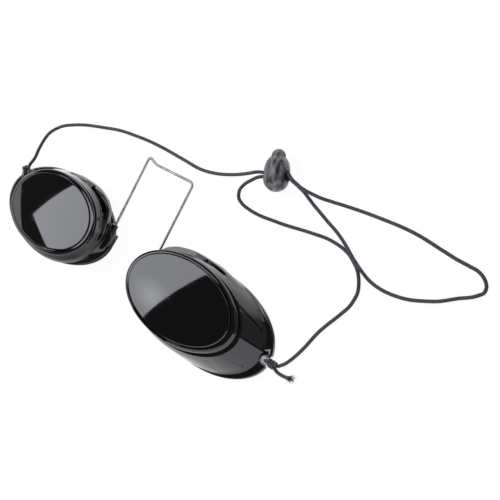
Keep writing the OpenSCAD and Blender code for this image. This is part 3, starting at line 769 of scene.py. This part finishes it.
def skirt_grid():
    """Angles and heights of the wall's grid, its points moved onto the slots' outlines."""
    degrees = np.concatenate([np.arange(SEAM, FINE_END, FINE_STEP),
                              np.arange(FINE_END, SEAM + 360, COARSE_STEP)])
    angle = np.radians(degrees)[None, :]
    foot = foot_height(angle)
    share = np.linspace(0, 1, WALL_ROWS)[:, None]
    z = foot + (SHOULDER_Z - SHOULDER_ROUND - foot) * share
    turn = np.radians(np.linspace(0, 540, 2161))
    step = np.hypot(SKIRT_R * np.sin(turn), SKIRT_R * SKIRT_ASPECT * np.cos(turn)) * (turn[1] - turn[0])
    travelled = np.concatenate([[0], np.cumsum(step[1:])])
    along = np.interp(angle, turn, travelled) + 0 * z
    inside = np.zeros(z.shape, bool)
    for ends in SLOTS:
        start, end = np.interp(np.radians(ends), turn, travelled)
        gap = slot_distance(along, z, start, end)
        tiny = 1e-3
        away = np.stack([slot_distance(along + tiny, z, start, end) - gap,
                         slot_distance(along, z + tiny, start, end) - gap]) / tiny
        near = np.abs(gap) < CATCH
        along = np.where(near, along - gap * away[0], along)
        z = np.where(near, z - gap * away[1], z)
        inside |= ~near & (gap < 0)
    return np.interp(along, travelled, turn), z, inside


print("grid of the wall:", skirt_grid()[1].shape)

# %% [markdown]
# The wall is one closed shell: up the outside, over the shoulder, down the inside and
# back under the foot. Where a slot is left out of both walls, short faces across the
# wall's thickness close its edge.

# %% Skirts
SHOULDER_IN = PANEL_R - PANEL_WALL - 0.2


def skirt(name, side):
    """Closed wall with its shoulder: outer wall, shoulder, inner wall and foot, holed by the slots."""
    angle, z, inside = skirt_grid()
    columns = angle.shape[1]
    foot_lip = LIP_OUT * np.exp(-((z - z[:1]) / LIP_H) ** 2)
    degrees = np.degrees(angle)
    drawn_in = pulled_in(BEAD_R + BEAD_W, angle) * np.clip((z - RIM_T) / (SHOULDER_Z - RIM_T), 0, 1)
    swell = fullness(z, degrees) - drawn_in
    outer = oval(skirt_radius(z) + swell + foot_lip + ribs(z, degrees), z, angle, SKIRT_ASPECT)
    round_r, round_z = skirt_radius(SHOULDER_Z) - SHOULDER_ROUND, SHOULDER_Z - SHOULDER_ROUND
    edge = arc(round_r, round_z, SHOULDER_ROUND, 10, 90, 5)
    crown = np.concatenate([edge, [[SHOULDER_IN, SHOULDER_Z], [SHOULDER_IN, SHOULDER_Z - SHOULDER_T]]])
    lift = np.concatenate([np.linspace(1, 0, len(edge)), [0, 0]])[:, None] * swell[-1:]
    crown = oval(crown[:, :1] + lift, crown[:, 1:], angle[-1:], SKIRT_ASPECT)
    held = np.minimum(z, SHOULDER_Z - SHOULDER_T)
    inner = oval(skirt_radius(held) - SHELL_T - drawn_in, held, angle, SKIRT_ASPECT)[::-1]
    grid = np.concatenate([outer, crown, inner])
    rows = len(grid)
    number = np.arange(rows * columns).reshape(rows, columns)
    wrap = np.roll(inside, -1, axis=1)
    hole = inside[:-1] | inside[1:] | wrap[:-1] | wrap[1:]
    keep = np.ones((rows, columns), bool)
    keep[:WALL_ROWS - 1] = ~hole
    keep[rows - WALL_ROWS:rows - 1] = ~hole[::-1]
    quads = grid_quads(rows, columns, close_rows=True)[keep.ravel()]
    mirror = number[::-1]
    i, j = np.nonzero(hole != np.roll(hole, -1, axis=1))
    right = (j + 1) % columns
    walls = [np.stack([number[i, right], number[i + 1, right], mirror[i + 1, right], mirror[i, right]], 1)]
    i, j = np.nonzero(hole[:-1] != hole[1:])
    right = (j + 1) % columns
    up = i + 1
    walls.append(np.stack([number[up, j], number[up, right], mirror[up, right], mirror[up, j]], 1))
    return new_piece(name, in_cup(grid, side).reshape(-1, 3), np.concatenate([quads, *walls]), sharp=50)


for label, side in SIDES.items():
    piece = skirt(f"{label}_skirt", side)
    dress(piece, f"{label}_cup", "shell_plastic", polished_abs, f"{label}_outer_shell")
    print(label, "skirt:", len(piece.data.polygons), "faces")

# %% [markdown]
# The cup behind the skirt holds the rim, the light baffle, the wire's socket and the
# eyelet. Its shape in the frame is already right, with true holes, so a welded copy
# of it takes smooth shading and the same polished plastic.

# %% Cups
def smooth_copy(name, node, sharp=32):
    """Welded copy of a node's mesh, smooth where its faces meet at a small angle."""
    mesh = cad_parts[node].data.copy()
    mesh.materials.clear()
    shape = bmesh.new()
    shape.from_mesh(mesh)
    bmesh.ops.remove_doubles(shape, verts=shape.verts, dist=WELD * 10)
    shape.to_mesh(mesh)
    shape.free()
    mesh.polygons.foreach_set("use_smooth", np.ones(len(mesh.polygons), bool))
    mesh.set_sharp_from_angle(angle=np.radians(sharp))
    mesh.name = name
    piece = bpy.data.objects.new(name, mesh)
    bpy.context.scene.collection.objects.link(piece)
    return piece


for label in SIDES:
    cup = smooth_copy(f"{label}_cup_body", f"{label}_eye_cup")
    dress(cup, f"{label}_cup", "cup_plastic", polished_abs, f"{label}_eye_cup")
    print(label, "cup:", len(cup.data.polygons), "faces")

# %% [markdown]
# The bridge is one bent wire. Its legs turn in the cups' sockets. The near corner is
# round and the far one is sharp, and the middle is bent in a little beside it, as
# hand-bent wire often is. The path is a chain of straight runs with arcs between.

# %% Path of the bridge wire
WIRE_SEAT = 7.8
wire_corners = [[11.6, -WIRE_SEAT], [11.6, 28.65], [-7.1, 27.3], [-11.6, 28.5], [-11.6, -WIRE_SEAT]]
wire_bends = [1.8, 1.6, 0.9]


def bent(corners, bends, step=0.15):
    """Straight runs with each inner corner rounded by an arc of the given radius."""
    p = np.asarray(corners, float)
    pieces = [p[:1]]
    for before, at, after, radius in zip(p[:-2], p[1:-1], p[2:], bends):
        a, b = unit(before - at), unit(after - at)
        half = np.arccos(np.clip(a @ b, -1, 1)) / 2
        centre = at + unit(a + b) * radius / np.sin(half)
        start, end = at + a * radius / np.tan(half), at + b * radius / np.tan(half)
        t = np.linspace(0, 1, 12)[:, None]
        swing = (1 - t) * (start - centre) + t * (end - centre)
        pieces.append(centre + radius * unit(swing))
    corners = np.concatenate(pieces + [p[-1:]])
    s = arc_length(corners)
    t = np.linspace(0, s[-1], int(s[-1] / step) + 1)
    return np.stack([np.interp(t, s, corners[:, k]) for k in (0, 1)], 1)


flat = bent(wire_corners, wire_bends)
print(f"wire: {arc_length(flat)[-1]:.1f} mm")

# %% [markdown]
# The bent wire is flat and lies in a plane that rises gently from the sockets. Round
# wire is a plain tube, and the drawn lines in its steel follow the tube's UV.

# %% Bridge wire
WIRE_D = 1.0
SOCKET_Y, WIRE_Z, WIRE_RISE = 9.6, 6.4, 4
slant = np.radians(WIRE_RISE)
wire_path = np.stack([flat[:, 0], SOCKET_Y - MID_Y + flat[:, 1] * np.cos(slant),
                      WIRE_Z + flat[:, 1] * np.sin(slant)], 1)
wire = new_piece("bridge_rod", *tube(wire_path, WIRE_D / 2, sides=24))
dress(wire, "bridge", "bridge_steel", wire_steel, "bridge_wire")
print("wire faces:", len(wire.data.polygons))

# %% [markdown]
# The cord is tied into an eyelet at the rim of each cup. The knot is drawn in the
# eyelet's own frame, whose X points straight out of the rim at the eyelet's angle, and
# one function then moves its points to their place in the part.

# %% Frame of an eyelet
EYELET_WALL, EYELET_REACH = 0.75, 0.4
RELIEF_Z, LUG_T, KNOT_D = 1.7, 1.4, 3.3
EYELET_ANGLE = {"right": 1.5, "left": 28}


def from_eyelet(points, label):
    """Points of an eyelet's frame, with X straight out of the rim, at their place in the part."""
    a = np.radians(EYELET_ANGLE[label])
    turn = np.arctan2(RIM_L * np.sin(a), RIM_H * np.cos(a))
    p = np.asarray(points, float)
    x = p[..., 0] * np.cos(turn) - p[..., 1] * np.sin(turn) + RIM_L / 2 * np.cos(a)
    y = p[..., 0] * np.sin(turn) + p[..., 1] * np.cos(turn) + RIM_H / 2 * np.sin(a)
    return in_cup(np.stack([x, y, p[..., 2]], -1), SIDES[label])


def eyelet_direction(vector, label):
    """A direction of an eyelet's frame as it lies in the part."""
    return tuple(from_eyelet([vector], label)[0] - from_eyelet([[0, 0, 0]], label)[0])


for label in SIDES:
    print(label, "eyelet points to", np.round(eyelet_direction([1, 0, 0], label), 2))

# %% [markdown]
# A knot has four parts, each a tube of the same cord: a loop through the eyelet, wraps
# round the standing part, the standing part itself and a short tail. WRAPS holds the
# wraps' turns, radius and pitch and how far they sit back over the eyelet.

# %% Parts of a knot
WRAPS = {"right": (2.2, 0.98, 1.05, 0.5), "left": (1.5, 0.8, 0.95, 2.0)}
KNOT_X = EYELET_REACH + KNOT_D / 2 + SEAT_GAP
CORD_PRESS = 0.06
LOOP_SKEW = 0.12
TAIL_STEP = 0.12


def eyelet_loop():
    """Oval of cord through the hole and round the eyelet's outer wall, in the eyelet's frame."""
    a = np.linspace(0, 2 * np.pi, 49)
    wide, high = (EYELET_WALL + CORD_D) / 2 + CORD_PRESS, (LUG_T + CORD_D) / 2 + CORD_PRESS
    x, z = EYELET_REACH - EYELET_WALL / 2, RELIEF_Z + LUG_T / 2
    return np.stack([x + wide * np.cos(a), LOOP_SKEW * np.sin(a), z + high * np.sin(a)], 1)


def knot_wraps(turns, radius, pitch, inwards):
    """Helix of the wraps about the outward axis, from the eyelet's side to the free side."""
    t = np.linspace(0, 1, 90)
    a = 2 * np.pi * turns * t
    x = KNOT_X - inwards + pitch * turns * (t - 0.5)
    z = KNOT_D / 2 + SEAT_GAP
    return np.stack([x, radius * np.cos(a), z + radius * np.sin(a)], 1)


def standing_part(label):
    """Last bit of cord from the end of its stretch into the middle of the knot."""
    middle = from_eyelet([[KNOT_X - WRAPS[label][3], 0, KNOT_D / 2]], label)
    ends = {"left": left_path[:7:3][::-1], "right": right_path[-7::3]}
    return smooth_route(np.concatenate([ends[label], middle]), TAIL_STEP)


for label in SIDES:
    print(label, "knot: standing part of", round(arc_length(standing_part(label))[-1], 1), "mm")

# %% [markdown]
# The tails are cut ends. The right one is frayed in the photograph: it thickens, and
# loose fibres splay from it, each aimed along the tail with a random turn. They are
# tubes of 0.07 mm, thicker than single fibres, which would be too fine to show.

# %% Knots
TAILS = {"right": right_tail, "left": left_tail}
FIBRES = {"right": 110, "left": 12}
FIBRE_R, FIBRE_LENGTHS = 0.035, (0.7, 2.1)
AIM_SPREAD, START_SPREAD, BEND_SPREAD = 0.75, 0.45, 0.3
FIBRE_LOW = 0.06
FRAY_LENGTH, FRAY_SWELL = 1.6, 0.45
TUBE_R = CORD_D / 2 - 0.02


def fibres(end, outwards, count, seed):
    """Loose fibres that splay from a cut end: start + aim t + bend t squared, above the table."""
    random = np.random.default_rng(seed)
    made = []
    for _ in range(count):
        aim = unit(outwards + random.normal(0, AIM_SPREAD, 3))
        start = end + random.normal(0, START_SPREAD, 3) * (1 - np.abs(outwards) * 0.5)
        t = np.linspace(0, 1, 6)[:, None]
        length = random.uniform(*FIBRE_LENGTHS)
        bend = random.normal(0, BEND_SPREAD, 3)
        path = start + aim * length * t + bend * t * t
        path[:, 2] = np.maximum(path[:, 2], FIBRE_LOW)
        made.append(tube(path, FIBRE_R, reference=(0.3, 0.4, 0.86), sides=3))
    return made


for number, label in enumerate(SIDES):
    tail = smooth_route(in_part(TAILS[label]), TAIL_STEP)
    left_over = arc_length(tail)[-1] - arc_length(tail)
    swell = 1 + FRAY_SWELL * np.clip(1 - left_over / FRAY_LENGTH, 0, 1) ** 2
    loop = from_eyelet(eyelet_loop(), label)
    wraps = from_eyelet(knot_wraps(*WRAPS[label]), label)
    parts = [
        tube(standing_part(label), CORD_D / 2, relief=braid),
        tube(loop, TUBE_R, relief=braid, reference=eyelet_direction([0, 1, 0], label)),
        tube(wraps, TUBE_R, relief=braid, reference=eyelet_direction([1, 0, 0], label)),
        tube(tail, CORD_D / 2 * swell, relief=braid),
    ]
    parts += fibres(tail[-1], unit(tail[-1] - tail[-4]), FIBRES[label], number)
    knot = new_piece(f"{label}_knot", *joined(parts))
    dress(knot, f"{label}_cup", "cord_braid", cord_cover, f"{label}_cord_knot")
    print(label, "knot:", len(parts), "tubes,", len(knot.data.polygons), "faces")

# %% [markdown]
# The cord lock is a barrel with a ball foot, a sprung plunger and a hole through both.
# Copies of the frame's solids keep the true bores. The spring stays as it is in the
# frame and only takes its steel.

# %% Cord lock
for name, node, body in (("lock_body", "lock_barrel", "lock"), ("lock_button", "lock_plunger", "plunger")):
    piece = smooth_copy(name, node)
    dress(piece, body, "lock_plastic", lock_acetal, node)
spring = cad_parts["lock_spring"]
spring.data.materials.clear()
spring.data.materials.append(coil_steel)

# %% [markdown]

# %% [markdown]
# The studio is made of flat sheets, the table and the soft boxes, because a sheet shows
# as a plain shape with straight edges in gloss.

# %% Sheets of the studio
def sheet(name, corners, material):
    """Flat sheet with the given corners that belongs to the studio."""
    mesh = bpy.data.meshes.new(name)
    mesh.from_pydata((np.asarray(corners, float) * MM).tolist(), [], [tuple(range(len(corners)))])
    mesh.materials.append(material)
    made = bpy.data.objects.new(name, mesh)
    bpy.context.scene.collection.objects.link(made)
    return made


print("the camera stands", round(CAMERA_AT.z / MM), "mm above the table")

# %% [markdown]
# The goggles lie on a white table. To the camera the table is plain white. Black gloss
# shows little of its own colour, and what the eye reads in it is the mirrored studio,
# so in mirrors the table shows a painted reflection: it glows as bright as low lights
# and dark flags would leave it, brightening from the far cup to the near one in front
# of the goggles, and dark behind a line that runs away from the near cup. All other
# light falls on a plain white surface, which also takes the object's shadow.

# %% Table
TABLE_COLOUR = "#F2F2F2"
TABLE_HALF = 4000
TABLE_Z = -0.05
CAMERA_WHITE, DIRECT_SHARE = 1.02, 0.92
FRONT_FADE, FRONT_DIM, FRONT_BRIGHT = (-14, 40), 0.4, 2.1
BACK_FADE, BACK_BRIGHT, FLAG_LIGHT = (48, 56), 1.5, 0.35
FLAG_EDGE = np.radians(65)
FRONT_MEETS_BACK = (-5, -3)


def painted_table_reflection(tree, place):
    """Painted reflection: how bright the table glows in a mirror, by the place in millimetres that is
    mirrored.
    """
    at = add(tree, "SeparateXYZ", {"Vector": place}).outputs
    low, high = FRONT_FADE
    front = add(tree, "MapRange", {0: at["X"], 1: low, 2: high, 3: FRONT_DIM, 4: FRONT_BRIGHT})
    over = add(tree, "Math", {0: at["X"], 1: np.sin(FLAG_EDGE)}, operation="MULTIPLY")
    away = add(tree, "Math", {0: at["Y"], 1: np.cos(FLAG_EDGE)}, operation="MULTIPLY")
    across = add(tree, "Math", {0: over, 1: away}, operation="SUBTRACT")
    low, high = BACK_FADE
    back = add(tree, "MapRange", {0: across, 1: low, 2: high, 3: BACK_BRIGHT, 4: FLAG_LIGHT})
    low, high = FRONT_MEETS_BACK
    is_front = add(tree, "MapRange", {0: at["Y"], 1: low, 2: high, 3: 1, 4: 0})
    return add(tree, "Mix", {0: is_front, 2: back, 3: front})


def table_material():
    """White to the camera, a painted reflection to mirrors, and white card to all other light."""
    material, tree, place = new_material("white_table")
    ray = add(tree, "LightPath").outputs
    camera_ray, glossy, through = (ray[f"Is {kind} Ray"] for kind in ("Camera", "Glossy", "Transmission"))
    in_mirror = add(tree, "Math", {0: glossy, 1: through}, operation="MAXIMUM")
    direct = add(tree, "Math", {0: camera_ray, 1: in_mirror}, operation="MAXIMUM")
    share = add(tree, "Math", {0: direct, 1: DIRECT_SHARE}, operation="MULTIPLY")
    # Mirrors see the table's painted reflection, the camera plain white.
    strength = add(tree, "Mix", {0: camera_ray, 2: painted_table_reflection(tree, place), 3: CAMERA_WHITE})
    plain = add(tree, "Emission", {"Color": (1, 1, 1, 1), "Strength": strength})
    lit = add(tree, "BsdfDiffuse", {"Color": srgb(TABLE_COLOUR)})
    both = add(tree, "MixShader", {0: share, 1: lit, 2: plain})
    add(tree, "OutputMaterial", {"Surface": both})
    return material


sheet("table", [[x * TABLE_HALF, y * TABLE_HALF, TABLE_Z]
                for x, y in ((-1, -1), (1, -1), (1, 1), (-1, 1))], table_material())
print("table:", 2 * TABLE_HALF * MM, "m wide")

# %% [markdown]
# The light comes from soft boxes in a dim room. They stand where their mirror images
# fall in the photograph: the many-cornered one overhead is what the two fronts mirror,
# and the low ones light up the skirts. Lamps would do too, but a glowing sheet has the
# straight edges that gloss shows. The camera doesn't see them.

# %% Soft boxes
GLOW_COLOUR = "#F4F7FF"
HOT_SPOT = (-262, -123, 600)
HOT_SPOT_SIZE, HOT_SPOT_GAIN = 70, 3.0
soft_boxes = {
    "overhead_box": (5.5, [[-885, -178, 600], [-728, -254, 600], [-290, -262, 600], [-275, -228, 600],
                           [-169, 65, 600], [-70, 340, 600], [-590, 340, 600], [-755, 51, 600]]),
    "low_left_box": (2.0, [[-909, 156, 390], [-419, -422, 390], [-419, -422, 20], [-909, 156, 20]]),
    "low_right_box": (2.1, [[899, 31, 650], [-308, -846, 650], [-308, -846, 10], [899, 31, 10]]),
    "low_back_box": (2.0, [[330, 618, 10], [-606, 350, 10], [-606, 350, 300], [330, 618, 300]]),
    "dim_card": (FLAG_LIGHT, [[753, 92, 10], [389, 613, 10], [389, 613, 420], [753, 92, 420]]),
    "strip_box": (3.5, [[330, 170, 450], [390, 190, 560], [150, 430, 560], [90, 370, 450]]),
}


def glow(name, strength, hot_spot=None):
    """Even glow, with a brighter round spot where a lamp stands behind the cloth."""
    material, tree, place = new_material(name)
    power = strength
    if hot_spot:
        away = add(tree, "VectorMath", {0: place, 1: hot_spot}, operation="DISTANCE").outputs["Value"]
        power = add(tree, "MapRange", {
            0: away, 1: 0, 2: HOT_SPOT_SIZE, 3: strength + HOT_SPOT_GAIN, 4: strength})
    light = add(tree, "Emission", {"Color": srgb(GLOW_COLOUR), "Strength": power})
    add(tree, "OutputMaterial", {"Surface": light})
    return material


for name, (strength, corners) in soft_boxes.items():
    spot = HOT_SPOT if name == "overhead_box" else None
    box = sheet(name, corners, glow(f"{name}_glow", strength, spot))
    box.visible_camera = False
print("soft boxes:", len(soft_boxes))

# %% [markdown]
# The room around gives a faint even light, which keeps the blacks from closing up. A
# picture of a real room would put its own shapes and colours into the gloss, so the
# world is one plain white of low strength.

# %% Room
ROOM_LIGHT = 0.09
world = bpy.data.worlds.new("dim_room")
world.use_nodes = True
world.node_tree.nodes["Background"].inputs["Color"].default_value = (1, 1, 1, 1)
world.node_tree.nodes["Background"].inputs["Strength"].default_value = ROOM_LIGHT
bpy.context.scene.world = world
bpy.context.scene.view_settings.view_transform = "Standard"
print("room light:", ROOM_LIGHT)
